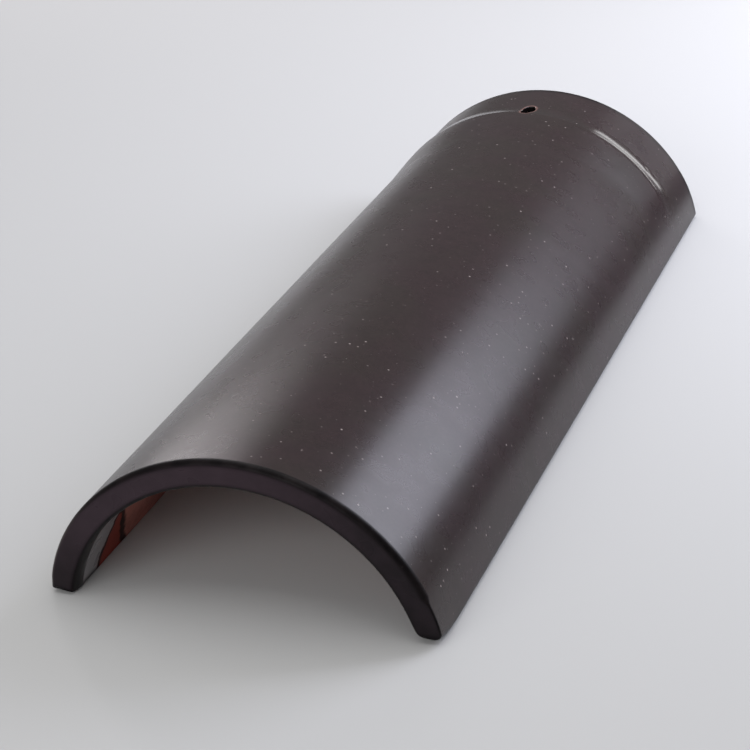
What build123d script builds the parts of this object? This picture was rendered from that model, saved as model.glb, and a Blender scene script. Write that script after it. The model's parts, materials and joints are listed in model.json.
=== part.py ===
"""Glazed clay barrel roof tile: one pressed and fired piece.

Frame: +Z up, the tile lies hollow side down on its two long feet at Z = 0.
Y runs along the barrel: the lower end, with the socket inside, is at -Y,
and the upper end, with the shoulder, the spigot and the nail hole, is at +Y.
Lengths are in millimetres and angles in degrees.
"""
import os
from math import cos, radians, sin

from build123d import *
from build123d.topology import SkipClean

# Barrel
length = 400.0
width = 150.0
outer_radius = 78.0
rise = 62.0
wall = 10.4
foot_width = 10.0
crown_half_angle = 50.0

# Upper end: the body swells into a shoulder, then steps down to the spigot
spigot_length = 25.0
step_run = 12.0
swell_run = 14.0
shoulder_swell = 0.9
spigot_drop = 0.3

# Lower end: a shallow socket inside, below the thicker barrel
socket_depth = 1.8
socket_length = 32.0
socket_run = 12.0

# Rounded edges
foot_outer_round = 2.2
foot_inner_round = 3.6
end_round = 1.6

# Nail hole in the step at the crown, its mouth drawn out along the tile
nail_diameter = 5.5
nail_from_end = 32.5
mouth_length = 13.0
mouth_depth = 4.0

# Sections in each soft change along the barrel
blend_steps = 4

# Places that follow from the sizes above
axis_z = rise - outer_radius
socket_radius = outer_radius - wall
barrel_inner_radius = socket_radius - socket_depth
outer_half_width = width / 2
inner_half_width = outer_half_width - foot_width
lower_end = -length / 2
upper_end = length / 2
foot_of_step = upper_end - spigot_length
shoulder = foot_of_step - step_run
swell_start = shoulder - swell_run
socket_foot = lower_end + socket_length
socket_top = socket_foot + socket_run


def ease(share):
    """Soft step from 0 to 1 with level ends."""
    return share * share * (3 - 2 * share)


def arch(crown_radius, half_width):
    """Three-centred arch: a crown arc about the barrel's axis and two tangent haunches down to Z = 0."""
    angle = radians(crown_half_angle)
    meet = Vector(crown_radius * sin(angle), axis_z + crown_radius * cos(angle))
    crown = ThreePointArc((-meet.X, meet.Y), (0, axis_z + crown_radius), meet)
    haunches = [
        TangentArc((side * meet.X, meet.Y), (side * half_width, 0), tangent=(side * cos(angle), -sin(angle)))
        for side in (-1, 1)
    ]
    return [crown] + haunches


def tile_section(y, outer_crown, inner_crown):
    """The tile's cross-section at a place along the barrel, with rounded feet."""
    feet = [Line((side * inner_half_width, 0), (side * outer_half_width, 0)) for side in (-1, 1)]
    face = make_face(arch(outer_crown, outer_half_width) + arch(inner_crown, inner_half_width) + feet)
    corners = face.vertices().group_by(Axis.Y)[0].sort_by(Axis.X)
    face = fillet([corners[0], corners[-1]], foot_outer_round)
    corners = face.vertices().group_by(Axis.Y)[0].sort_by(Axis.X)
    face = fillet(corners[1:-1], foot_inner_round)
    return Plane.XZ.offset(-y) * face


def blend(start, end, crown_from, crown_to):
    """Stations of a soft change of a crown radius along the barrel, as (y, radius), without the first."""
    shares = [i / blend_steps for i in range(1, blend_steps + 1)]
    return [(start + (end - start) * s, crown_from + (crown_to - crown_from) * ease(s)) for s in shares]


def round_end(piece, side):
    """Rounds every edge of one end face."""
    end_face = piece.faces().sort_by(Axis.Y)[side]
    return fillet(end_face.edges(), end_round)


def lower_part():
    """The socket and the run inside it up to the full barrel wall."""
    stations = [(socket_foot, socket_radius)]
    stations += blend(socket_foot, socket_top, socket_radius, barrel_inner_radius)
    run = loft([tile_section(y, outer_radius, r) for y, r in stations])
    socket = extrude(tile_section(lower_end, outer_radius, socket_radius), -socket_length, clean=False)
    return [round_end(socket, 0), run]


def barrel_part():
    """The plain barrel between the socket and the swelling."""
    section = tile_section(socket_top, outer_radius, barrel_inner_radius)
    return extrude(section, socket_top - swell_start, clean=False)


def upper_part():
    """The swelling, the shoulder, the step down and the spigot."""
    shoulder_radius = outer_radius + shoulder_swell
    spigot_radius = outer_radius - spigot_drop
    stations = [(swell_start, outer_radius)]
    stations += blend(swell_start, shoulder, outer_radius, shoulder_radius)
    stations += blend(shoulder, foot_of_step, shoulder_radius, spigot_radius)
    step = loft([tile_section(y, r, barrel_inner_radius) for y, r in stations])
    section = tile_section(foot_of_step, spigot_radius, barrel_inner_radius)
    spigot = extrude(section, -spigot_length, clean=False)
    return [step, round_end(spigot, -1)]


def nail_hole():
    """A round hole down through the crown, with a longer, round-ended mouth on top."""
    y = upper_end - nail_from_end
    reach = outer_radius
    bore = Pos(0, y, rise) * Cylinder(nail_diameter / 2, 2 * reach)
    slot = Pos(0, y, rise - mouth_depth) * SlotOverall(mouth_length, nail_diameter, rotation=90)
    return bore + extrude(slot, reach)


with SkipClean():
    tile = barrel_part().fuse(*lower_part(), *upper_part()) - nail_hole()

os.makedirs("parts", exist_ok=True)
export_step(tile, "parts/tile.step")
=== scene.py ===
"""Glazed clay barrel roof tile and its studio stage, laid out as a Blender add-on and run as a script.

Frame: metres, +Z up. The tile lies hollow side down on its two long feet at Z = 0. Y runs along the
barrel from the lower end, with the socket inside, to the upper end, with the shoulder, the spigot and
the nail hole. X runs across. Angles around the barrel are measured at its axis, from the crown.
"""
import json

import bpy
import numpy as np
from bpy.props import FloatProperty, FloatVectorProperty, IntProperty, PointerProperty
from bpy.types import Operator, Panel, PropertyGroup
from mathutils import Matrix, Vector


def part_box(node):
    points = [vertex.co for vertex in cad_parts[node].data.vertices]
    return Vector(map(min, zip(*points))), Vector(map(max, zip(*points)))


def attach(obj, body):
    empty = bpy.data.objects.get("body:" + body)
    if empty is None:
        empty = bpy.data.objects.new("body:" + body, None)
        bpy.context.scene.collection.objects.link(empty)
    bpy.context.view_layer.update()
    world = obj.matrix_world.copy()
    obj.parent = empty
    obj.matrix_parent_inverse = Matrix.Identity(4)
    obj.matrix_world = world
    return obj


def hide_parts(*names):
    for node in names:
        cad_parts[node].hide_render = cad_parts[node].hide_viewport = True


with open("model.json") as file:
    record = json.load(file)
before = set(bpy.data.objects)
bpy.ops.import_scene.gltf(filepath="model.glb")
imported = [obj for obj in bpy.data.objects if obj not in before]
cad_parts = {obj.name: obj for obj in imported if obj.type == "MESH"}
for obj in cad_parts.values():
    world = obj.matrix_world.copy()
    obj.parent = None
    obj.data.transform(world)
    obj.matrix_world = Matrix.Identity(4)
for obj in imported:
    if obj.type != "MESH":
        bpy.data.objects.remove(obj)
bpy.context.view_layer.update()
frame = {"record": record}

bl_info = {
    "name": "Glazed roof tile",
    "version": (1, 0, 0),
    "blender": (4, 5, 0),
    "location": "3D View > Sidebar > Roof tile",
    "description": "Builds a glazed clay barrel roof tile with its nail hole, and a plain studio stage",
    "category": "Object",
}

TILE_LOW, TILE_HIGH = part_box("tile")
HALF_LENGTH = (TILE_HIGH.y - TILE_LOW.y) / 2
NAIL_HOLE = next(mount for mount in frame["record"]["mounts"] if mount["name"] == "nail_hole")
MM = 0.001


def length_prop(name, description, default):
    """A length in metres that a user may change."""
    return FloatProperty(
        name=name, description=description, default=default, min=0.0, precision=5, unit="LENGTH"
    )


def colour_prop(name, description, default):
    """A linear colour that a user may change."""
    return FloatVectorProperty(
        name=name, description=description, default=default, size=3, min=0.0, max=1.0, subtype="COLOR"
    )


class RoofTileSizes(PropertyGroup):
    """Sizes of the pressed clay piece."""

    length: length_prop("Length", "Length along the barrel", TILE_HIGH.y - TILE_LOW.y)
    width: length_prop("Width", "Width between the feet's outer corners", 150 * MM)
    outer_radius: length_prop("Outer radius", "Radius of the barrel's outside", 78 * MM)
    rise: length_prop("Rise", "Height of the plain barrel's crown above the floor", 62 * MM)
    wall: length_prop("Wall", "Wall thickness in the socket", 10.4 * MM)
    foot_width: length_prop("Foot width", "Width of each foot between its corners", 10 * MM)
    crown_half_angle: FloatProperty(
        name="Crown half angle",
        description="Where the crown arc passes into the haunches",
        default=np.radians(50),
        subtype="ANGLE",
    )
    spigot_length: length_prop("Spigot length", "Length of the spigot beyond the step", 25 * MM)
    step_run: length_prop("Step run", "Length of the step from the shoulder to the spigot", 12 * MM)
    swell_run: length_prop("Swell run", "Length over which the barrel swells to the shoulder", 38 * MM)
    shoulder_swell: length_prop("Shoulder swell", "Rise of the shoulder above the barrel", 0.9 * MM)
    spigot_drop: length_prop("Spigot drop", "Drop of the spigot below the barrel", 0.3 * MM)
    socket_depth: length_prop("Socket depth", "Depth of the socket in the lower end's inside", 1.8 * MM)
    socket_length: length_prop("Socket length", "Length of the socket", 32 * MM)
    socket_run: length_prop("Socket run", "Length of the run from the socket to the barrel's inside", 12 * MM)
    foot_outer_round: length_prop("Outer foot round", "Rounding of the feet's outer edges", 2.2 * MM)
    foot_inner_round: length_prop("Inner foot round", "Rounding of the feet's inner edges", 3.6 * MM)
    left_foot_round: length_prop("Left foot round", "Slighter rounding of the left foot's edges", 1.2 * MM)
    end_round: length_prop("End round", "Rounding of both ends' edges", 1.6 * MM)
    worn_round: length_prop("Worn round", "Longer rounding inside the lower end by the left foot", 6.5 * MM)
    step_slant: FloatProperty(
        name="Step slant", description="Slope of the step's line across the tile", default=0.056, precision=4
    )
    nail_radius: length_prop("Nail hole radius", "Radius of the nail hole", NAIL_HOLE["dims"]["r_mm"] * MM)
    nail_place: length_prop("Nail hole place", "Place of the nail hole along Y", NAIL_HOLE["pos_m"][1])
    mouth_length: length_prop("Mouth length", "Length of the nail hole's drawn-out mouth", 13 * MM)
    mouth_depth: length_prop("Mouth depth", "Depth of the mouth below the crown", 4.0 * MM)
    waviness: length_prop("Waviness", "Height of the gentle unevenness of the pressed clay", 0.015 * MM)
    seed: IntProperty(name="Seed", description="Choice of the unevenness and the nail hole's lip", default=7)


class RoofTileFinish(PropertyGroup):
    """Colours of the glaze and the clay, linear."""

    glaze: colour_prop("Glaze", "Main colour of the glaze", (0.0240, 0.0136, 0.0150))
    glaze_olive: colour_prop("Olive glaze", "Colour of the glaze's olive clouds", (0.0228, 0.0150, 0.0143))
    # Near black: the glaze's pits and thin edges, and also painted shade on the dark edges, along the feet by
    # the floor and in the line at the socket's run.
    edge: colour_prop("Glaze at edges", "Colour of the thin glaze over the edges", (0.003, 0.0025, 0.003))
    end_face: colour_prop("Glaze on the ends", "Colour of the glaze on the ends", (0.034, 0.0215, 0.0285))
    speck: colour_prop("Specks", "Colour of the fine light specks", (0.32, 0.27, 0.26))
    clay: colour_prop("Clay", "Colour of the bare clay inside", (0.50, 0.20, 0.16))
    # Darker red of the socket's bare clay: painted shade in the socket.
    socket_clay_shade: colour_prop("Washed clay", "Colour of the clay under a thin wash of glaze", (0.26, 0.045, 0.030))
    # Pale grey glaze just inside the ends: real glaze, whose pale colour is a painted sheen.
    slip: colour_prop("Inner slip", "Colour of the thin glaze just inside the ends", (0.30, 0.29, 0.30))
    rim: colour_prop("Nail hole rim", "Colour of the pale rim of the nail hole", (0.19, 0.10, 0.085))
    # Near black down the nail hole: painted shade.
    bore: colour_prop("Nail hole bore", "Colour down the nail hole", (0.004, 0.003, 0.003))


class RoofTileStage(PropertyGroup):
    """Floor and lamps of the stage."""

    floor: colour_prop("Floor", "Colour of the pale floor", (0.48, 0.48, 0.48))
    key: FloatProperty(name="Right box", description="Radiance of the soft box on the right", default=6.4)
    kicker: FloatProperty(name="Left box", description="Radiance of the soft box on the left", default=7.2)
    strip: FloatProperty(name="Back box", description="Radiance of the low soft box behind", default=3.1)
    fill: FloatProperty(name="Top box", description="Radiance of the large soft box overhead", default=1.6)
    front: FloatProperty(name="Front box", description="Radiance of the soft box in front", default=3.0)


# Steps of the grid: crown, haunch and foot rounding of each half, across the wall, round an end's edge
CROWN_STEPS = 72
HAUNCH_STEPS = 32
FOOT_STEPS = 8
WALL_STEPS = 8
END_STEPS = 6
HALF_RUNGS = CROWN_STEPS + HAUNCH_STEPS + FOOT_STEPS
RUNGS = 2 * HALF_RUNGS + 1
# Pitch of the rows along the barrel, plain and around the step
PLAIN_PITCH = 3.2 * MM
STEP_PITCH = 0.5 * MM
# Where the slanted line of the step crosses its square place, along X
STEP_PIVOT = -34 * MM
# Shares of the step's run taken by its turns at the shoulder and at the spigot
STEP_TURN_IN = 0.08
STEP_TURN_OUT = 0.66
# The slant comes in and goes out again between these places along Y
SLANT_IN = (120 * MM, 148 * MM)
SLANT_OUT = (178 * MM, 197 * MM)
# The step fades out between these angles from the crown, in degrees
STEP_FADE_FROM = 54
STEP_FADE_TO = 68
# Spots of glaze by the step: angle from the crown in degrees, place along Y, height
GLAZE_SPOTS = (
    (48.0, 166.3 * MM, 0.10 * MM),
    (52.0, 168.3 * MM, 0.11 * MM),
    (56.0, 170.6 * MM, 0.05 * MM),
    (60.0, 167.6 * MM, 0.07 * MM),
)
SPOT_RADIUS = 1.1 * MM
# Outer edge of the lower end: least rounding, its growth, and angles in degrees of its jog and its growth
EDGE_ROUND = 0.6 * MM
EDGE_GROWTH = 0.8 * MM
EDGE_JOG = (63.5, 66.0)
EDGE_FULLER = (-55, -20)
# Angles in degrees between which the inner edge's longer rounding by the left foot goes out
LONGER_ROUND = (-64, -36)
# Worn corners of the lower end: corner, direction of the loss, depth and reach
WORN_CORNERS = (
    ((70 * MM, -200 * MM, 0), (0.0, 0.0, 1.0), 1.6 * MM, 11.0 * MM),
    ((65 * MM, -200 * MM, 0), (0.60, 0.10, 0.70), 1.0 * MM, 4.5 * MM),
    ((76 * MM, -200 * MM, 0), (-0.45, 0.30, 0.80), 1.6 * MM, 4.5 * MM),
    ((-75 * MM, -200 * MM, 0), (0.50, 0.10, 0.85), 1.7 * MM, 6.0 * MM),
)
# Window cut out of the grid around the nail hole: reach along -Y and +Y, and rungs to each side
WINDOW_BEFORE = 11 * MM
WINDOW_AFTER = 9.5 * MM
WINDOW_RUNGS = 8
# Lips of the nail hole: size and wander of the upper one, size of the lower one
LIP_SIZE = 0.75 * MM
LIP_WANDER = 0.22 * MM
LOW_LIP = 0.5 * MM
# Power of the superellipse that gives the mouth its round ends
OVAL_POWER = 2.5
# Rings of the nail hole: middle and spread of the pale rim, painted shade down the bore from and to, bare
# clay under it
RIM_RING = 8.4
RIM_SPREAD = 1.4
BORE_FROM = (10, 12.5)
BORE_TO = (33, 37)
CLAY_FROM = (33, 36)
# Shares of an end's rounding over which the dark edge comes in and the end face goes out
EDGE_TURN = (-0.15, 0.3)
FACE_TURN = (0.0, 0.5)
# The dark edge goes out between these angles on the left, in degrees
EDGE_ANGLES = (-62, -36)
# Bands over which the dark edges fade: back from the upper end, and up from the floor, where they are painted
# contact shade
RIM_BAND = (1.5 * MM, 4.5 * MM)
FOOT_BAND = (1.0 * MM, 3.2 * MM)
# Margin of the step's mask before the shoulder and before the step's foot
STEP_MARGIN = 2 * MM
# Bands inside the tile, as distances from its ends: the glaze with its painted sheen, edge of the glaze, dark
# line, and line of the run, where a painted shadow lies
INNER_GLAZE_SHEEN_BAND = (3 * MM, 7 * MM)
GLAZE_END = (17.2 * MM, 18.6 * MM)
GLAZE_LINE = 19 * MM
RUN_LINE = 41.5 * MM
UPPER_GLAZE_END = (12 * MM, 17 * MM)


def soft_step(x, start, end):
    """0 before start, 1 after end, and 3s² - 2s³ of the share s between them."""
    share = np.clip((x - start) / (end - start), 0, 1)
    return share * share * (3 - 2 * share)


def ramp_step(x, start, end, turn_in, turn_out):
    """0 before start, 1 after end: a straight slope with parabolic turns over the first and last shares."""
    share = np.clip((x - start) / (end - start), 0, 1)
    slope = 1 / (1 - (turn_in + turn_out) / 2)
    early = slope * share**2 / (2 * turn_in)
    straight = slope * (share - turn_in / 2)
    late = 1 - slope * (1 - share) ** 2 / (2 * turn_out)
    return np.where(share < turn_in, early, np.where(share > 1 - turn_out, late, straight))


class TileForm:
    """The tile's skin, worked out from its sizes."""

    def __init__(self, sizes):
        self.sizes = sizes
        self.low = -sizes.length / 2
        self.high = sizes.length / 2
        self.axis_z = sizes.rise - sizes.outer_radius
        self.socket_radius = sizes.outer_radius - sizes.wall
        self.outer_half_width = sizes.width / 2
        self.inner_half_width = sizes.width / 2 - sizes.foot_width
        self.step_foot = self.high - sizes.spigot_length
        self.shoulder = self.step_foot - sizes.step_run
        self.waves = self.draw_waves()

    def outer_crown(self, y):
        """Crown radius of the outside: the barrel, plus the swelling, less the step down to the spigot."""
        sizes = self.sizes
        swell = sizes.shoulder_swell * soft_step(y, self.shoulder - sizes.swell_run, self.shoulder)
        drop = sizes.shoulder_swell + sizes.spigot_drop
        step = ramp_step(y, self.shoulder, self.step_foot, STEP_TURN_IN, STEP_TURN_OUT)
        return sizes.outer_radius + swell - drop * step

    def inner_crown(self, y):
        """Crown radius of the inside: the socket, less the run up to the thicker barrel."""
        sizes = self.sizes
        foot = self.low + sizes.socket_length
        return self.socket_radius - sizes.socket_depth * soft_step(y, foot, foot + sizes.socket_run)

    def draw_waves(self):
        """Directions and phases of a few long waves: turns per metre across and along, and a start."""
        draw = np.random.default_rng(self.sizes.seed)
        count = 14
        turns = np.stack([draw.uniform(3, 16, count), draw.uniform(2, 14, count)], -1)
        turns = turns * draw.choice([-1, 1], (count, 2))
        return turns, draw.uniform(0, 2 * np.pi, count)

    def unevenness(self, x, y, z):
        """Sum of long sine waves over the arc length and Y, fading out towards the feet."""
        turns, start = self.waves
        arc = np.arctan2(x, z - self.axis_z) * self.sizes.outer_radius
        phase = 2 * np.pi * (arc[..., None] * turns[:, 0] + y[..., None] * turns[:, 1]) + start
        fade = soft_step(z, 3 * MM, 15 * MM)
        return self.sizes.waviness * fade * np.sin(phase).sum(-1) / np.sqrt(len(start) / 2)

    def body_rows(self):
        """Y of the rows between the two ends' roundings, finer around the step."""
        sizes = self.sizes
        fine_from, fine_to = self.shoulder - 9 * MM, self.step_foot + 4 * MM
        return np.concatenate([
            np.arange(self.low + sizes.worn_round + 2.5 * MM, fine_from - PLAIN_PITCH / 2, PLAIN_PITCH),
            np.arange(fine_from, fine_to - STEP_PITCH / 2, STEP_PITCH),
            np.linspace(fine_to, self.high - sizes.end_round - 1.5 * MM, 9),
        ])

    def step_lean(self, x, y):
        """Shift along Y of the slanted step: proportional to X, fading out towards the barrel and the rim."""
        near_step = soft_step(y, *SLANT_IN) * (1 - soft_step(y, *SLANT_OUT))
        return -self.sizes.step_slant * (x - STEP_PIVOT) * near_step

    def lower_round(self, angle):
        """Rounding of the lower end's edge round the section loop: its run along Y and its inset.

        Outside it is full over the crown, slighter on the left and ends with a jog low on the right.
        Inside its run grows down the left haunch, which makes it an ellipse there.
        """
        sizes = self.sizes
        degrees = np.degrees(angle)
        fuller = (1 - soft_step(degrees, *EDGE_JOG)) * (1 + soft_step(degrees, *EDGE_FULLER))
        longer = 1 - soft_step(degrees, *LONGER_ROUND)
        run = EDGE_ROUND + EDGE_GROWTH * fuller
        inset = run.copy()
        run[INNER] = sizes.end_round + (sizes.worn_round - sizes.end_round) * longer[INNER]
        inset[INNER] = sizes.end_round
        share = np.linspace(0, 1, WALL_STEPS + 1)[1:-1]
        for size in (run, inset):
            size[RIGHT_FOOT] = size[OUTER[-1]] + (size[INNER[-1]] - size[OUTER[-1]]) * share
            size[LEFT_FOOT] = size[INNER[0]] + (size[OUTER[0]] - size[INNER[0]]) * share
        return run, inset


def arc(centre, radius, start, end, steps):
    """Arc points centre + radius (sin a, cos a), with a from start to end, and their rays, for each row."""
    angle = start[:, None] + (end - start)[:, None] * np.linspace(0, 1, steps + 1)
    ray = np.stack([np.sin(angle), np.cos(angle)], -1)
    return centre[:, None] + np.reshape(radius, (-1, 1, 1)) * ray, ray


def half_arch(form, crown, half_width, foot_round, side):
    """Half a three-centred arch for each row, from the crown down: crown arc, tangent haunch, foot rounding.

    The haunch leaves the crown arc at the join angle and would end at the foot's corner. The rounding
    touches the haunch and the floor plane, from inside the wall, so side is 1 outside and -1 inside.
    """
    angle = form.sizes.crown_half_angle
    full = np.ones_like(crown)
    ray = np.array([np.sin(angle), np.cos(angle)])
    axis = np.array([0, form.axis_z]) * full[:, None]
    join = axis + crown[:, None] * ray
    chord = join - np.array([half_width, 0])
    radius = (chord**2).sum(-1) / (2 * chord @ ray)
    centre = join - radius[:, None] * ray
    reach = radius - side * foot_round
    run = np.sqrt(reach**2 - (foot_round - centre[:, 1]) ** 2)
    touch = np.arctan2(run, foot_round - centre[:, 1])
    foot_centre = np.stack([centre[:, 0] + run, foot_round * full], -1)
    start = touch if side > 0 else touch + np.pi
    crown_points, crown_rays = arc(axis, crown, 0 * full, angle * full, CROWN_STEPS)
    haunch_points, haunch_rays = arc(centre, radius, angle * full, touch, HAUNCH_STEPS)
    foot_points, foot_rays = arc(foot_centre, foot_round * full, start, np.pi * full, FOOT_STEPS)
    points = np.concatenate([crown_points, haunch_points[:, 1:], foot_points[:, 1:]], 1)
    normals = np.concatenate([side * crown_rays, side * haunch_rays[:, 1:], foot_rays[:, 1:]], 1)
    return points, normals


def outer_half(form, y, foot_round):
    """Half of the outside at each place along the barrel: the step fades out down the haunch."""
    stepped = half_arch(form, form.outer_crown(y), form.outer_half_width, foot_round, 1)
    plain = half_arch(form, np.full_like(y, form.sizes.outer_radius), form.outer_half_width, foot_round, 1)
    angle = np.degrees(np.arctan2(plain[0][..., 0], plain[0][..., 1] - form.axis_z))
    fade = soft_step(angle, STEP_FADE_FROM, STEP_FADE_TO)[..., None]
    return [with_step + (without - with_step) * fade for with_step, without in zip(stepped, plain)]


def both_halves(left, right):
    """The whole arch from the left foot to the right one: one half mirrored, then the other half."""
    return np.concatenate([left[:, :0:-1] * [-1, 1], right], 1)


def close_loop(outer, inner):
    """Section loop: over the outside, across the right foot, back over the inside, across the left foot."""
    share = np.linspace(0, 1, WALL_STEPS + 1)[1:-1].reshape(1, -1, 1)
    right = outer[:, -1:] + (inner[:, -1:] - outer[:, -1:]) * share
    left = inner[:, :1] + (outer[:, :1] - inner[:, :1]) * share
    return np.concatenate([outer, right, inner[:, ::-1], left], 1)


OUTER = np.arange(RUNGS)
RIGHT_FOOT = RUNGS + np.arange(WALL_STEPS - 1)
INNER = (2 * RUNGS + WALL_STEPS - 2) - np.arange(RUNGS)
LEFT_FOOT = 2 * RUNGS + WALL_STEPS - 1 + np.arange(WALL_STEPS - 1)
LOOP = 2 * RUNGS + 2 * (WALL_STEPS - 1)


def quads(grid):
    """Four-cornered faces of an index grid, turned so that columns cross rows gives the outward side."""
    return np.stack([grid[:-1, :-1], grid[:-1, 1:], grid[1:, 1:], grid[1:, :-1]], -1).reshape(-1, 4)


def section_loop(form, y):
    """Section loop at each place along the barrel: its points and its outward normals, as X and Z."""
    sizes = form.sizes
    outer = [outer_half(form, y, size) for size in (sizes.left_foot_round, sizes.foot_outer_round)]
    inner = [
        half_arch(form, form.inner_crown(y), form.inner_half_width, size, -1)
        for size in (sizes.left_foot_round, sizes.foot_inner_round)
    ]
    points = close_loop(both_halves(outer[0][0], outer[1][0]), both_halves(inner[0][0], inner[1][0]))
    normals = close_loop(both_halves(outer[0][1], outer[1][1]), both_halves(inner[0][1], inner[1][1]))
    return points, normals


def barrel_skin(form):
    """Skin along the barrel: the section loop at each row, rounded at the ends and made slightly uneven.

    A row of an end's rounding lies on a quarter ellipse, whose size at the lower end varies round the loop.
    """
    quarter = np.linspace(0, np.pi / 2, END_STEPS + 1)
    rise, inset = 1 - np.cos(quarter), 1 - np.sin(quarter)
    low_loop = section_loop(form, np.array([form.low]))[0][0]
    low_run, low_inset = form.lower_round(np.arctan2(low_loop[:, 0], low_loop[:, 1] - form.axis_z))
    high_round = np.full(LOOP, form.sizes.end_round)
    after = np.array([0.6, 1.6])[:, None] * MM
    body = np.broadcast_to(form.body_rows()[:, None], (len(form.body_rows()), LOOP))
    along = np.concatenate([
        form.low + np.outer(rise, low_run),
        form.low + low_run + after,
        body,
        form.high - np.outer(rise, high_round)[::-1],
    ])
    drawn_in = np.zeros(along.shape)
    drawn_in[:len(inset)] = np.outer(inset, low_inset)
    drawn_in[-len(inset):] = np.outer(inset, high_round)[::-1]

    points, normals = section_loop(form, along[:, HALF_RUNGS])
    x, z = points[..., 0], points[..., 1]
    along = along + form.step_lean(x, along)
    angle = np.degrees(np.arctan2(x, z - form.axis_z))
    move = form.unevenness(x, along, z) - drawn_in
    outside = np.isin(np.arange(LOOP), OUTER)
    for spot_angle, spot_y, height in GLAZE_SPOTS:
        across = np.radians(angle - spot_angle) * form.sizes.outer_radius
        move += outside * height * np.exp(-(across**2 + (along - spot_y) ** 2) / SPOT_RADIUS**2)
    points = points + move[..., None] * normals
    return np.stack([points[..., 0], along, points[..., 1]], -1)


def wear(points):
    """Points drawn in at the worn corners: a bell-shaped loss around each corner."""
    for corner, direction, depth, reach in WORN_CORNERS:
        away = ((points - corner) ** 2).sum(-1, keepdims=True)
        points = points + depth * np.exp(-away / reach**2) * np.array(direction)
    return points


def end_cap(skin_row):
    """Inside of an end face: straight rungs from the outer edge to the inner one, without the boundary."""
    share = np.linspace(0, 1, WALL_STEPS + 1)[1:-1].reshape(1, -1, 1)
    outer, inner = skin_row[OUTER][1:-1, None], skin_row[INNER][1:-1, None]
    return outer + (inner - outer) * share


def cap_grid(skin_indices, first_new):
    """Index grid of an end face: its boundary is the skin's last row, its inside is new."""
    grid = np.empty((RUNGS, WALL_STEPS + 1), int)
    grid[:, 0], grid[:, -1] = skin_indices[OUTER], skin_indices[INNER]
    grid[-1, 1:-1], grid[0, 1:-1] = skin_indices[RIGHT_FOOT], skin_indices[LEFT_FOOT][::-1]
    grid[1:-1, 1:-1] = first_new + np.arange((RUNGS - 2) * (WALL_STEPS - 1)).reshape(RUNGS - 2, -1)
    return grid


def window_loop(first_row, last_row, reach):
    """Rows and rungs once round a window about the crown, turning left seen from above."""
    rungs, rows = np.arange(-reach, reach), np.arange(first_row, last_row)
    loop_rows = np.concatenate([
        np.full(len(rungs), first_row), rows, np.full(len(rungs), last_row), rows[::-1] + 1
    ])
    loop_rungs = np.concatenate([rungs, np.full(len(rows), reach), -rungs, np.full(len(rows), -reach)])
    return loop_rows, loop_rungs + HALF_RUNGS


def oval(angle, half_width, half_length):
    """Round-ended oval: a superellipse in X and Y."""
    power = 2 / OVAL_POWER
    x = np.sign(np.cos(angle)) * np.abs(np.cos(angle)) ** power
    y = np.sign(np.sin(angle)) * np.abs(np.sin(angle)) ** power
    return np.stack([x * half_width, y * half_length], -1)


def nail_hole_skin(form, top_window, under_window):
    """Rings from a window on the crown in to the mouth, down the bore and out to a window on the inside.

    A ring between a window and the mouth lies on the barrel's skin at a share of the way. The lip is a
    quarter circle whose size wanders around the mouth. Down the bore the oval shrinks to the round hole.
    """
    sizes = form.sizes
    half_mouth = sizes.mouth_length / 2
    centre = np.array([0, sizes.nail_place])
    flat = top_window[:, :2] - centre
    angle = np.arctan2(flat[:, 1] / half_mouth, flat[:, 0] / sizes.nail_radius)
    draw = np.random.default_rng(sizes.seed + 1)
    wander = sum(np.sin(k * angle + draw.uniform(0, 6.28)) / k for k in range(1, 7))
    lip = LIP_SIZE + LIP_WANDER * wander
    mouth = oval(angle, sizes.nail_radius, half_mouth)
    away = mouth / np.linalg.norm(mouth, axis=1, keepdims=True)

    def on_top(plan):
        row = plan[:, 1] + centre[1]
        row = row - form.step_lean(plan[:, 0], row)
        height = form.axis_z + np.sqrt(form.outer_crown(row) ** 2 - plan[:, 0] ** 2)
        return height + form.unevenness(plan[:, 0], plan[:, 1] + centre[1], height)

    def under(plan):
        height = form.axis_z + np.sqrt(form.inner_crown(plan[:, 1] + centre[1]) ** 2 - plan[:, 0] ** 2)
        return height - form.unevenness(plan[:, 0], plan[:, 1] + centre[1], height)

    rings = []
    lip_edge = mouth + away * lip[:, None]
    for share in np.linspace(0, 1, 10)[1:] ** 0.7:
        plan = flat + (lip_edge - flat) * share
        rings.append((plan, on_top(plan)))
    for turn in np.linspace(0, np.pi / 2, 6)[1:]:
        plan = mouth + away * (lip * (1 - np.sin(turn)))[:, None]
        rings.append((plan, on_top(lip_edge) - lip * (1 - np.cos(turn))))
    lip_foot = rings[-1][1]
    ledge = sizes.rise - sizes.mouth_depth
    for share in np.linspace(0, 1, 5)[1:]:
        rings.append((mouth, lip_foot + (ledge + 0.5 * MM - lip_foot) * share))
    for share in np.linspace(0, 1, 6)[1:]:
        plan = oval(angle, sizes.nail_radius, half_mouth + (sizes.nail_radius - half_mouth) * share)
        rings.append((plan, np.full(len(angle), ledge + 0.5 * MM - 0.8 * MM * share)))
    bore = oval(angle, sizes.nail_radius, sizes.nail_radius)
    bore *= sizes.nail_radius / np.linalg.norm(bore, axis=1, keepdims=True)
    for share in np.linspace(0, 1, 7):
        top = ledge - 0.5 * MM
        rings.append((bore, top + (under(bore) + LOW_LIP - top) * share))
    for turn in np.linspace(0, np.pi / 2, 5)[1:]:
        plan = bore * (1 + LOW_LIP / sizes.nail_radius * (1 - np.cos(turn)))
        rings.append((plan, under(plan) + LOW_LIP * (1 - np.sin(turn))))
    out_flat = under_window[:, :2] - centre
    start = rings[-1][0]
    for share in np.linspace(0, 1, 9)[1:-1] ** 1.4:
        plan = start + (out_flat - start) * share
        rings.append((plan, under(plan)))
    return np.stack([np.column_stack([plan + centre, height]) for plan, height in rings])


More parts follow.
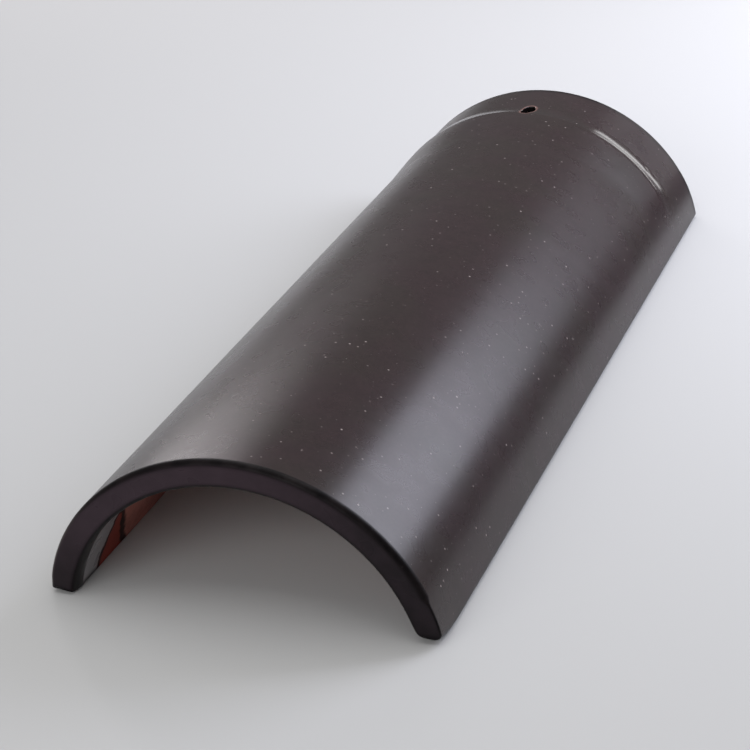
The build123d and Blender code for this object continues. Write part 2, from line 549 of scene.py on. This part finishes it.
def tile_mesh(form):
    """Vertices, faces and masks of the whole tile: skin, two end faces and the nail hole."""
    sizes = form.sizes
    skin = barrel_skin(form)
    rows = len(skin)
    indices = np.arange(rows * LOOP).reshape(rows, LOOP)
    wrapped = np.concatenate([indices, indices[:, :1]], 1)
    y = skin[:, HALF_RUNGS, 1]

    first_row = int(np.searchsorted(y, sizes.nail_place - WINDOW_BEFORE))
    last_row = int(np.searchsorted(y, sizes.nail_place + WINDOW_AFTER))
    reach = WINDOW_RUNGS
    keep = np.ones((rows - 1, LOOP), bool)
    keep[first_row:last_row, HALF_RUNGS - reach:HALF_RUNGS + reach] = False
    inner_from = INNER[HALF_RUNGS + reach]
    keep[first_row:last_row, inner_from:inner_from + 2 * reach] = False
    faces = [quads(wrapped).reshape(rows - 1, LOOP, 4)[keep]]

    points = [skin.reshape(-1, 3)]
    count = rows * LOOP
    for row, turned in ((0, True), (rows - 1, False)):
        cap = end_cap(skin[row])
        grid = cap_grid(indices[row], count)
        faces.append(quads(grid if turned else grid[:, ::-1]))
        points.append(cap.reshape(-1, 3))
        count += cap.shape[0] * cap.shape[1]

    loop_rows, loop_rungs = window_loop(first_row, last_row, reach)
    top, under = indices[loop_rows, OUTER[loop_rungs]], indices[loop_rows, INNER[loop_rungs]]
    rings = nail_hole_skin(form, points[0][top], points[0][under])
    ring_indices = count + np.arange(rings.shape[0] * rings.shape[1]).reshape(rings.shape[:2])
    grid = np.concatenate([top[None], ring_indices, under[None]])
    grid = np.concatenate([grid, grid[:, :1]], 1)
    faces.append(quads(grid))
    points.append(rings.reshape(-1, 3))

    points, faces = np.concatenate(points), np.concatenate(faces)
    masks = tile_masks(form, points, skin.shape, rings)
    used = np.zeros(len(points), bool)
    used[faces.ravel()] = True
    renumber = np.cumsum(used) - 1
    return wear(points[used]), renumber[faces], {name: mask[used] for name, mask in masks.items()}


def tile_masks(form, points, skin_shape, rings):
    """Where each finish lies, from 0 to 1: the inside, the dark edges with their painted shade, the end
    faces, the nail hole's rim and the painted shade down its bore.
    """
    rows, loop = skin_shape[:2]
    x, y, z = points.T
    inside = np.zeros(len(points))
    by_loop = np.zeros(loop)
    by_loop[INNER] = 1
    by_loop[RIGHT_FOOT] = np.linspace(0, 1, WALL_STEPS + 1)[1:-1]
    by_loop[LEFT_FOOT] = np.linspace(1, 0, WALL_STEPS + 1)[1:-1]
    inside[:rows * loop] = np.tile(by_loop, rows)
    by_row = np.zeros(rows)
    turn = np.linspace(0, 1, END_STEPS + 1)
    by_row[:END_STEPS + 1] = soft_step(turn, *EDGE_TURN)
    by_row[-END_STEPS - 1:] = by_row[:END_STEPS + 1][::-1]
    by_rung = np.ones(loop)
    rung_angle = np.degrees(np.arctan2(x[OUTER], z[OUTER] - form.axis_z))
    by_rung[OUTER] = soft_step(rung_angle, *EDGE_ANGLES)
    end_edge = np.zeros(len(points))
    end_edge[:rows * loop] = np.outer(by_row, by_rung).ravel()
    off_face = y < form.high - 0.01 * MM
    # Dark band at the upper end's rim: partly thin glaze, partly painted shade.
    rim_edge = (1 - soft_step(form.high - y, *RIM_BAND)) * off_face * (1 - inside)
    # Painted contact shade: the glaze turns dark over the last few millimetres above the floor.
    foot_painted_shade = 1 - soft_step(z, *FOOT_BAND)
    by_row[:] = 0
    by_row[:END_STEPS + 1] = 1 - soft_step(turn, *FACE_TURN)
    by_row[-END_STEPS - 1:] = by_row[:END_STEPS + 1][::-1]
    end_face = np.ones(len(points))
    end_face[:rows * loop] = np.repeat(by_row, loop)
    hole = np.zeros(len(points))
    depth = np.zeros(len(points))
    ring_count = rings.shape[0] * rings.shape[1]
    end_face[-ring_count:] = 0
    ring = np.repeat(np.arange(rings.shape[0]), rings.shape[1])
    hole[-ring_count:] = np.exp(-((ring - RIM_RING) / RIM_SPREAD) ** 2)
    # Painted shade down the nail hole's bore.
    depth[-ring_count:] = soft_step(ring, *BORE_FROM) * (1 - soft_step(ring, *BORE_TO))
    inside[-ring_count:] = soft_step(ring, *CLAY_FROM)
    row = y - form.step_lean(x, y)
    step = soft_step(row, form.shoulder - STEP_MARGIN, form.shoulder)
    step *= 1 - soft_step(row, form.step_foot - STEP_MARGIN, form.step_foot)
    off_crown = np.abs(np.degrees(np.arctan2(x, z - form.axis_z)))
    step *= 1 - soft_step(off_crown, STEP_FADE_FROM, STEP_FADE_TO)
    return {
        "inside": inside,
        "step": step * (1 - inside),
        "edge": np.maximum(np.maximum(end_edge, rim_edge), foot_painted_shade),
        "end_face": end_face,
        "nail_rim": hole,
        "nail_bore": depth,
    }


def add(tree, kind, inputs=None, **settings):
    """Adds a shader node: settings are its own values, inputs are constants or other nodes' outputs."""
    made = tree.nodes.new("ShaderNode" + kind)
    for name, value in settings.items():
        setattr(made, name, value)
    for key, value in (inputs or {}).items():
        if isinstance(value, bpy.types.NodeSocket):
            tree.links.new(value, made.inputs[key])
        else:
            made.inputs[key].default_value = value
    return made


def noise(tree, place, scale, detail=2.0, roughness=0.5):
    """Noise from 0 to 1 with features of about 1 / scale metres."""
    made = add(tree, "TexNoise", {"Vector": place, "Scale": scale, "Detail": detail, "Roughness": roughness})
    return made.outputs["Fac"]


def remap(tree, value, low, high, to_low=0.0, to_high=1.0):
    """Soft change from one value to another as the input goes from low to high."""
    made = add(
        tree,
        "MapRange",
        {"Value": value, "From Min": low, "From Max": high, "To Min": to_low, "To Max": to_high},
        interpolation_type="SMOOTHSTEP",
    )
    return made.outputs["Result"]


def combine(tree, operation, first, second):
    """A sum, product or the like of two values."""
    return add(tree, "Math", {0: first, 1: second}, operation=operation).outputs[0]


def tint(tree, share, below, above):
    """Colour below turned into colour above by a share."""
    made = add(tree, "Mix", {0: share, 6: below, 7: above}, data_type="RGBA")
    return made.outputs[2]


def dots(tree, place, scale, core, reach, cut, strength):
    """Scattered dots in the cells whose draw is above the cut: full at the core, nothing at the reach."""
    cells = add(tree, "TexVoronoi", {"Vector": place, "Scale": scale})
    pick = add(tree, "SeparateColor", {0: cells.outputs["Color"]})
    dot = remap(tree, cells.outputs["Distance"], core, reach, 1.0, 0.0)
    chosen = remap(tree, pick.outputs[0], cut, cut + 0.05)
    level = remap(tree, pick.outputs[1], 0.0, 1.0, 0.2 * strength, strength)
    return combine(tree, "MULTIPLY", combine(tree, "MULTIPLY", dot, chosen), level)


def mask(tree, name):
    """A mask stored on the mesh."""
    return add(tree, "Attribute", attribute_name=name).outputs["Fac"]


def opaque(colour):
    """A colour with full cover."""
    return (*colour, 1.0)


def glazed_clay_material(finish):
    """Dark semi-gloss glaze with clouds, grain and specks over red clay inside. The edges are dark from thin
    glaze and painted shade; painted shade also darkens the end faces, the socket and the nail hole's bore,
    and a painted sheen lightens the glaze just inside the ends.
    """
    material = bpy.data.materials.new("glazed_clay")
    material.use_nodes = True
    tree = material.node_tree
    shader = tree.nodes["Principled BSDF"]
    place = add(tree, "TexCoord").outputs["Object"]
    across, along, up = add(tree, "SeparateXYZ", {0: place}).outputs

    clouds = remap(tree, noise(tree, place, 28, 3), 0.38, 0.66)
    patches = noise(tree, place, 130, 3, 0.6)
    grain = noise(tree, place, 700, 2, 0.6)
    glaze = tint(tree, clouds, opaque(finish.glaze), opaque(finish.glaze_olive))
    grain = remap(tree, grain, 0.3, 0.7, -0.10, 0.10)
    shade = combine(tree, "ADD", remap(tree, patches, 0.3, 0.7, 0.92, 1.06), grain)
    glaze = add(tree, "VectorMath", {0: glaze, "Scale": shade}, operation="SCALE").outputs[0]

    pits = dots(tree, place, 180.0, 0.03, 0.09, 0.55, 0.8)
    glaze = tint(tree, pits, glaze, opaque(finish.edge))
    specks = combine(tree, "MAXIMUM", dots(tree, place, 220.0, 0.02, 0.13, 0.25, 1.0),
                     dots(tree, place, 420.0, 0.05, 0.14, 0.50, 0.35))
    glaze = tint(tree, specks, glaze, opaque(finish.speck))

    # Painted shade on the end faces: their colour darkens towards the right and towards the floor.
    low_painted_shade = remap(tree, up, 0.035, 0.004, 0.0, 0.7)
    end_painted_shade = combine(tree, "MAXIMUM", remap(tree, across, 0.0, 0.07, 0.0, 0.8), low_painted_shade)
    end_painted_shade = combine(tree, "ADD", end_painted_shade, remap(tree, patches, 0.3, 0.7, 0.0, 0.2))
    end_face = tint(tree, end_painted_shade, opaque(finish.end_face), opaque([0.2 * c for c in finish.end_face]))
    glaze = tint(tree, mask(tree, "end_face"), glaze, end_face)
    # Dark edges: partly thin glaze, partly painted shade where the edges turn away from the light, with
    # painted contact shade along the feet; they are also rougher.
    edge_glaze_and_shade = combine(tree, "MULTIPLY", mask(tree, "edge"), remap(tree, patches, 0.2, 0.8, 1.0, 0.75))
    glaze = tint(tree, edge_glaze_and_shade, glaze, opaque(finish.edge))

    wander = combine(tree, "MULTIPLY", combine(tree, "SUBTRACT", noise(tree, place, 60, 4, 0.6), 0.5), 0.012)
    in_low = combine(tree, "ADD", combine(tree, "ADD", along, wander), HALF_LENGTH)
    in_high = combine(tree, "SUBTRACT", HALF_LENGTH, combine(tree, "ADD", along, wander))
    glaze_edge = combine(tree, "SUBTRACT", in_low, combine(tree, "MULTIPLY", up, 0.3))
    bare_low = remap(tree, glaze_edge, *GLAZE_END)
    bare_high = remap(tree, in_high, *UPPER_GLAZE_END)
    bare = combine(tree, "MULTIPLY", mask(tree, "inside"), combine(tree, "MULTIPLY", bare_low, bare_high))
    body = tint(tree, remap(tree, noise(tree, place, 90, 5, 0.65), 0.3, 0.75), opaque(finish.clay),
                opaque([0.62 * c for c in finish.clay]))
    # Painted shade in the socket: the clay before the run's line is darker.
    run = combine(tree, "ADD", in_low, combine(tree, "MULTIPLY", up, 0.6))
    run = combine(tree, "SUBTRACT", run, RUN_LINE)
    body = tint(tree, remap(tree, run, -0.001, 0.001), opaque(finish.socket_clay_shade), body)
    # Painted shadow of the run: a near-black line where the socket runs up to the barrel's inside.
    off_line = combine(tree, "ABSOLUTE", run, 0.0)
    body = tint(tree, remap(tree, off_line, 0.0008, 0.0026, 0.92, 0.0), body, opaque(finish.edge))
    off_edge = combine(tree, "ABSOLUTE", combine(tree, "SUBTRACT", glaze_edge, GLAZE_LINE), 0.0)
    body = tint(tree, remap(tree, off_edge, 0.0006, 0.0020, 0.92, 0.0), body, opaque(finish.edge))
    # The glaze just inside the ends is pale grey: real glaze with a painted sheen.
    slip = combine(tree, "MULTIPLY", mask(tree, "inside"), combine(tree, "SUBTRACT", 1.0, edge_glaze_and_shade))
    slip = combine(tree, "MULTIPLY", slip, remap(tree, in_low, *INNER_GLAZE_SHEEN_BAND))
    glaze = tint(tree, slip, glaze, opaque(finish.slip))
    colour = tint(tree, bare, glaze, body)
    colour = tint(tree, mask(tree, "nail_rim"), colour, opaque(finish.rim))
    # Painted shade down the nail hole's bore.
    colour = tint(tree, mask(tree, "nail_bore"), colour, opaque(finish.bore))

    rough = remap(tree, noise(tree, place, 110, 1, 0.4), 0.3, 0.7, 0.270, 0.290)
    rough = combine(tree, "SUBTRACT", rough, combine(tree, "MULTIPLY", mask(tree, "step"), 0.13))
    rough = combine(tree, "ADD", rough, combine(tree, "MULTIPLY", edge_glaze_and_shade, 0.12))
    rough = combine(tree, "ADD", rough, combine(tree, "MULTIPLY", bare, 0.5))

    peel = noise(tree, place, 240, 1, 0.5)
    relief = combine(tree, "MULTIPLY", specks, 0.1)
    height = combine(tree, "ADD", combine(tree, "MULTIPLY", peel, 0.1), relief)
    height = combine(tree, "ADD", height, combine(tree, "MULTIPLY", bare, noise(tree, place, 420, 4, 0.7)))
    bump = add(tree, "Bump", {"Height": height, "Distance": 0.00012, "Strength": 1.0})

    # Reflection is halved on the end faces and cut almost away on the dark edges, so that the painted shade
    # there stays dark.
    gleam = tint(tree, mask(tree, "end_face"), (1.0, 1.0, 1.0, 1.0), (0.5, 0.5, 0.5, 1.0))
    gleam = tint(tree, edge_glaze_and_shade, gleam, (0.05, 0.05, 0.05, 1.0))

    tree.links.new(colour, shader.inputs["Base Color"])
    tree.links.new(gleam, shader.inputs["Specular Tint"])
    tree.links.new(rough, shader.inputs["Roughness"])
    tree.links.new(bump.outputs["Normal"], shader.inputs["Normal"])
    shader.inputs["Specular IOR Level"].default_value = 0.3
    return material


class ROOFTILE_OT_tile(Operator):
    """Build the glazed tile as one piece, with its end faces and its nail hole."""

    bl_idname = "roof_tile.tile"
    bl_label = "Glazed tile"

    def execute(self, context):
        form = TileForm(context.scene.roof_tile_sizes)
        points, faces, masks = tile_mesh(form)
        mesh = bpy.data.meshes.new("glazed_tile")
        mesh.from_pydata(points, [], faces)
        for name, values in masks.items():
            layer = mesh.attributes.new(name, "FLOAT", "POINT")
            layer.data.foreach_set("value", values.astype(np.float32))
        mesh.shade_smooth()
        if mesh.validate():
            raise RuntimeError("the tile's mesh has faulty faces")
        mesh.materials.append(glazed_clay_material(context.scene.roof_tile_finish))
        tile = bpy.data.objects.new("glazed_tile", mesh)
        context.scene.collection.objects.link(tile)
        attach(tile, "root")
        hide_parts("tile")
        return {"FINISHED"}


# Camera: azimuth from -Y towards +X, elevation and roll in degrees, place in metres, lens in millimetres
CAMERA_AZIMUTH = 21.635
CAMERA_ELEVATION = 25.546
CAMERA_ROLL = 4.106
CAMERA_TARGET = (0.00155, -0.05976, 0.02857)
CAMERA_DISTANCE = 0.8599
CAMERA_LENS = 103.738
CAMERA_SENSOR = 36.0
# Colours of the lamps on the right and on the left
COOL = (0.85, 0.87, 1.0)
WARM = (1.0, 0.96, 0.98)


def studio_camera():
    """Camera that looks at the target from an azimuth and an elevation, rolled about its own axis."""
    azimuth, elevation, roll = np.radians([CAMERA_AZIMUTH, CAMERA_ELEVATION, CAMERA_ROLL])
    back = np.array([
        np.sin(azimuth) * np.cos(elevation), -np.cos(azimuth) * np.cos(elevation), np.sin(elevation)
    ])
    side = np.cross([0, 0, 1], back)
    side /= np.linalg.norm(side)
    up = np.cross(back, side)
    right = np.cos(roll) * side - np.sin(roll) * up
    top = np.sin(roll) * side + np.cos(roll) * up
    data = bpy.data.cameras.new("studio_camera")
    data.sensor_width, data.lens = CAMERA_SENSOR, CAMERA_LENS
    camera = bpy.data.objects.new("studio_camera", data)
    place = np.array(CAMERA_TARGET) + CAMERA_DISTANCE * back
    pose = np.eye(4)
    pose[:3] = np.stack([right, top, back, place], 1)
    camera.matrix_world = Matrix(pose.tolist())
    return camera


def soft_box(name, centre, aim, width, height, radiance, colour=(1.0, 1.0, 1.0), spin=0.0):
    """Rectangular area lamp, spun about its aim, whose power is pi x its area x the radiance of its face."""
    data = bpy.data.lights.new(name, "AREA")
    data.shape, data.size, data.size_y = "RECTANGLE", width, height
    data.energy, data.color = np.pi * width * height * radiance, colour
    lamp = bpy.data.objects.new(name, data)
    turn = (Vector(aim) - Vector(centre)).to_track_quat("-Z", "Y").to_matrix().to_4x4()
    lamp.matrix_world = Matrix.Translation(centre) @ turn @ Matrix.Rotation(np.radians(spin), 4, "Z")
    lamp.visible_camera = False
    return lamp


def flat_sheet(name, corners, colour):
    """One flat matt face."""
    mesh = bpy.data.meshes.new(name)
    mesh.from_pydata(np.array(corners), [], [tuple(range(len(corners)))])
    material = bpy.data.materials.new(name)
    material.use_nodes = True
    shader = material.node_tree.nodes["Principled BSDF"]
    shader.inputs["Base Color"].default_value = opaque(colour)
    shader.inputs["Roughness"].default_value = 0.9
    shader.inputs["Specular IOR Level"].default_value = 0.1
    mesh.materials.append(material)
    return bpy.data.objects.new(name, mesh)


def pale_floor(colour):
    """Wide flat floor that the feet stand on."""
    half = 4.0
    corners = [(-half, -half, 0), (half, -half, 0), (half, half, 0), (-half, half, 0)]
    return flat_sheet("floor", corners, colour)


def dark_card():
    """Dark card flat on the floor, right of the picture, seen only in the tile's reflections."""
    lift = 0.5 * MM
    corners = [(0.190, -0.2, lift), (1.2, -0.2, lift), (1.2, 1.2, lift), (-0.084, 1.2, lift)]
    card = flat_sheet("dark_card", corners, (0.02, 0.02, 0.02))
    card.visible_camera = False
    card.visible_diffuse = False
    card.visible_shadow = False
    return card


def studio_world():
    """Grey surroundings that brighten from the horizon upwards."""
    world = bpy.data.worlds.new("studio")
    world.use_nodes = True
    tree = world.node_tree
    background = tree.nodes["Background"]
    up = add(tree, "SeparateXYZ", {0: add(tree, "TexCoord").outputs["Generated"]}).outputs["Z"]
    level = remap(tree, up, 0.0, 0.6, 0.15, 0.34)
    tree.links.new(level, background.inputs["Strength"])
    background.inputs["Color"].default_value = (1.0, 1.0, 1.0, 1.0)
    return world


class ROOFTILE_OT_stage(Operator):
    """Set the floor, the soft lamps, the surroundings and the camera."""

    bl_idname = "roof_tile.stage"
    bl_label = "Studio stage"

    def execute(self, context):
        look = context.scene.roof_tile_stage
        floor = pale_floor(look.floor)
        card = dark_card()
        camera = studio_camera()
        lamps = [
            soft_box("right_box", (0.494, 0.535, 0.442), (0.039, 0.535, 0.051), 0.77, 0.55, look.key, COOL),
            soft_box("left_box", (-0.741, 0.892, 0.599), (-0.02, 0.892, 0.06), 0.19, 1.01, look.kicker, WARM),
            soft_box("back_box", (0.135, 0.68, 0.084), (0.135, 0, 0.084), 0.235, 0.055, look.strip, spin=41),
            soft_box("top_box", (0.0, 0.0, 1.8), (0.0, 0.0, 0.0), 2.0, 2.0, look.fill),
            soft_box("front_box", (-0.2, -1.6, 0.75), (0.0, -0.15, 0.0), 1.6, 0.8, look.front),
        ]
        for piece in [floor, card, camera] + lamps:
            context.scene.collection.objects.link(piece)
        context.scene.world = studio_world()
        context.scene.camera = camera
        context.scene.view_settings.view_transform = "Standard"
        return {"FINISHED"}


class ROOFTILE_PT_panel(Panel):
    """Sidebar panel with the sizes, the finish, the stage and their operators."""

    bl_idname = "ROOFTILE_PT_panel"
    bl_label = "Roof tile"
    bl_space_type = "VIEW_3D"
    bl_region_type = "UI"
    bl_category = "Roof tile"

    def draw(self, context):
        scene = context.scene
        for group in (scene.roof_tile_sizes, scene.roof_tile_finish):
            box = self.layout.box()
            for name in group.__annotations__:
                box.prop(group, name)
        self.layout.operator(ROOFTILE_OT_tile.bl_idname)
        box = self.layout.box()
        for name in scene.roof_tile_stage.__annotations__:
            box.prop(scene.roof_tile_stage, name)
        self.layout.operator(ROOFTILE_OT_stage.bl_idname)


CLASSES = (
    RoofTileSizes, RoofTileFinish, RoofTileStage, ROOFTILE_OT_tile, ROOFTILE_OT_stage, ROOFTILE_PT_panel
)


def register():
    """Register the classes and hang the property groups on the scene."""
    for cls in CLASSES:
        bpy.utils.register_class(cls)
    bpy.types.Scene.roof_tile_sizes = PointerProperty(type=RoofTileSizes)
    bpy.types.Scene.roof_tile_finish = PointerProperty(type=RoofTileFinish)
    bpy.types.Scene.roof_tile_stage = PointerProperty(type=RoofTileStage)


def unregister():
    """Take the property groups off the scene and unregister the classes."""
    del bpy.types.Scene.roof_tile_stage
    del bpy.types.Scene.roof_tile_finish
    del bpy.types.Scene.roof_tile_sizes
    for cls in reversed(CLASSES):
        bpy.utils.unregister_class(cls)


def main():
    """Build the tile and the stage."""
    register()
    bpy.ops.roof_tile.tile()
    bpy.ops.roof_tile.stage()


if __name__ == "__main__":
    main()
